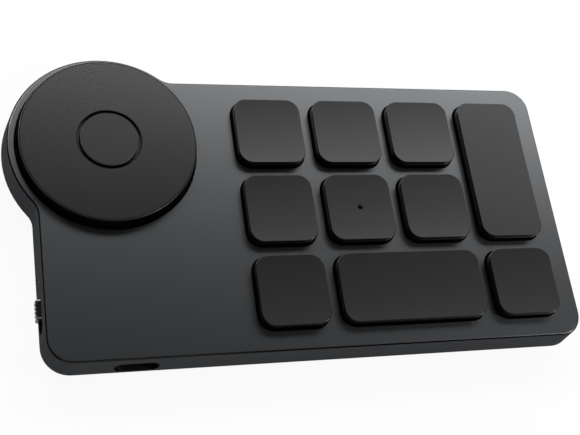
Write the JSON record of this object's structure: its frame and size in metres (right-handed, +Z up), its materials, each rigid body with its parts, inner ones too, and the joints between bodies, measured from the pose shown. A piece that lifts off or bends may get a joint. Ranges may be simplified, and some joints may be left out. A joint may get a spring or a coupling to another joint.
{
  "type": "shortcut remote",
  "caption": "Slim wireless key pad with low square and double-length keys, a large spinning dial with a centre push button, a side slide switch and a USB-C inlet.",
  "frame": {"origin": "on the table under the middle of the overall outline", "axes": "+X along the length from the dial to the keys, +Y away from the user, +Z up"},
  "size_m": [0.1178, 0.0648, 0.0119],
  "materials": {
    "case_shell": "satin dark grey coating with a fine metallic grain",
    "cover_plastic": "fine spark-eroded texture",
    "foot_rubber": "matt",
    "screw_steel": "black zinc",
    "circuit_board": "solder mask",
    "switch_plastic": "moulded",
    "plunger_plastic": "moulded",
    "key_plastic": "satin soft-touch top with glossy side walls",
    "button_plastic": "satin",
    "carrier_plastic": "moulded",
    "dial_gloss": "polished black",
    "dial_turned": "black, with fine concentric turning marks",
    "spring_steel": "rolled",
    "chip_plastic": "moulded",
    "usb_steel": "drawn",
    "usb_plastic": "moulded",
    "knob_plastic": "ribbed, satin",
    "lens_plastic": "smoked",
    "pad_foam": "foam tape",
    "battery_foil": "laminated foil"
  },
  "bodies": {
    "case": {"top_case": "case_shell", "bottom_cover": "cover_plastic", "foot_pads": "foot_rubber", "cover_screws": "screw_steel", "board_screws": "screw_steel", "carrier_screws": "screw_steel", "main_board": "circuit_board", "key_switches": "switch_plastic", "button_switch": "switch_plastic", "dial_carrier": "carrier_plastic", "retaining_clip": "spring_steel", "encoder_sensor": "chip_plastic", "detent_spring": "spring_steel", "usb_shell": "usb_steel", "usb_insert": "usb_plastic", "power_switch_body": "usb_steel", "status_lens": "lens_plastic", "status_led": "plunger_plastic", "battery_pad": "pad_foam", "battery": "battery_foil", "battery_tabs": "usb_steel", "wireless_module": "usb_steel", "controller_chip": "chip_plastic", "charger_chip": "chip_plastic"},
    "dial": {"dial_wheel": "dial_gloss", "dial_face": "dial_turned", "encoder_ring": "carrier_plastic"},
    "dial_button": {"button_cap": "button_plastic", "button_plunger": "plunger_plastic"},
    "power_slider": {"power_knob": "knob_plastic", "power_lever": "plunger_plastic"},
    "key_01": {"key_01_cap": "key_plastic", "key_01_plunger": "plunger_plastic"},
    "key_02": {"key_02_cap": "key_plastic", "key_02_plunger": "plunger_plastic"},
    "key_03": {"key_03_cap": "key_plastic", "key_03_plunger": "plunger_plastic"},
    "tall_key": {"tall_key_cap": "key_plastic", "tall_key_plunger": "plunger_plastic"},
    "key_05": {"key_05_cap": "key_plastic", "key_05_plunger": "plunger_plastic"},
    "key_06": {"key_06_cap": "key_plastic", "key_06_plunger": "plunger_plastic"},
    "key_07": {"key_07_cap": "key_plastic", "key_07_plunger": "plunger_plastic"},
    "key_08": {"key_08_cap": "key_plastic", "key_08_plunger": "plunger_plastic"},
    "wide_key": {"wide_key_cap": "key_plastic", "wide_key_plunger": "plunger_plastic"},
    "key_10": {"key_10_cap": "key_plastic", "key_10_plunger": "plunger_plastic"}
  },
  "joints": [
    {"name": "dial_spin", "type": "hinge", "parent": "case", "child": "dial", "pos_m": [-0.03878, 0.0123, 0], "axis": [0, 0, 1], "continuous": true},
    {"name": "dial_button_press", "type": "slide", "parent": "case", "child": "dial_button", "axis": [0, 0, -1], "range_m": [0, 0.0008], "stiffness_N_per_m": 1200, "springref_m": -0.0003},
    {"name": "key_01_press", "type": "slide", "parent": "case", "child": "key_01", "axis": [0, 0, -1], "range_m": [0, 0.001], "stiffness_N_per_m": 500, "springref_m": -0.0003},
    {"name": "key_02_press", "type": "slide", "parent": "case", "child": "key_02", "axis": [0, 0, -1], "range_m": [0, 0.001], "stiffness_N_per_m": 500, "springref_m": -0.0003},
    {"name": "key_03_press", "type": "slide", "parent": "case", "child": "key_03", "axis": [0, 0, -1], "range_m": [0, 0.001], "stiffness_N_per_m": 500, "springref_m": -0.0003},
    {"name": "tall_key_press", "type": "slide", "parent": "case", "child": "tall_key", "axis": [0, 0, -1], "range_m": [0, 0.001], "stiffness_N_per_m": 500, "springref_m": -0.0003},
    {"name": "key_05_press", "type": "slide", "parent": "case", "child": "key_05", "axis": [0, 0, -1], "range_m": [0, 0.001], "stiffness_N_per_m": 500, "springref_m": -0.0003},
    {"name": "key_06_press", "type": "slide", "parent": "case", "child": "key_06", "axis": [0, 0, -1], "range_m": [0, 0.001], "stiffness_N_per_m": 500, "springref_m": -0.0003},
    {"name": "key_07_press", "type": "slide", "parent": "case", "child": "key_07", "axis": [0, 0, -1], "range_m": [0, 0.001], "stiffness_N_per_m": 500, "springref_m": -0.0003},
    {"name": "key_08_press", "type": "slide", "parent": "case", "child": "key_08", "axis": [0, 0, -1], "range_m": [0, 0.001], "stiffness_N_per_m": 500, "springref_m": -0.0003},
    {"name": "wide_key_press", "type": "slide", "parent": "case", "child": "wide_key", "axis": [0, 0, -1], "range_m": [0, 0.001], "stiffness_N_per_m": 500, "springref_m": -0.0003},
    {"name": "key_10_press", "type": "slide", "parent": "case", "child": "key_10", "axis": [0, 0, -1], "range_m": [0, 0.001], "stiffness_N_per_m": 500, "springref_m": -0.0003},
    {"name": "power_slide", "type": "slide", "parent": "case", "child": "power_slider", "axis": [0, -1, 0], "range_m": [0, 0.002]}
  ]
}
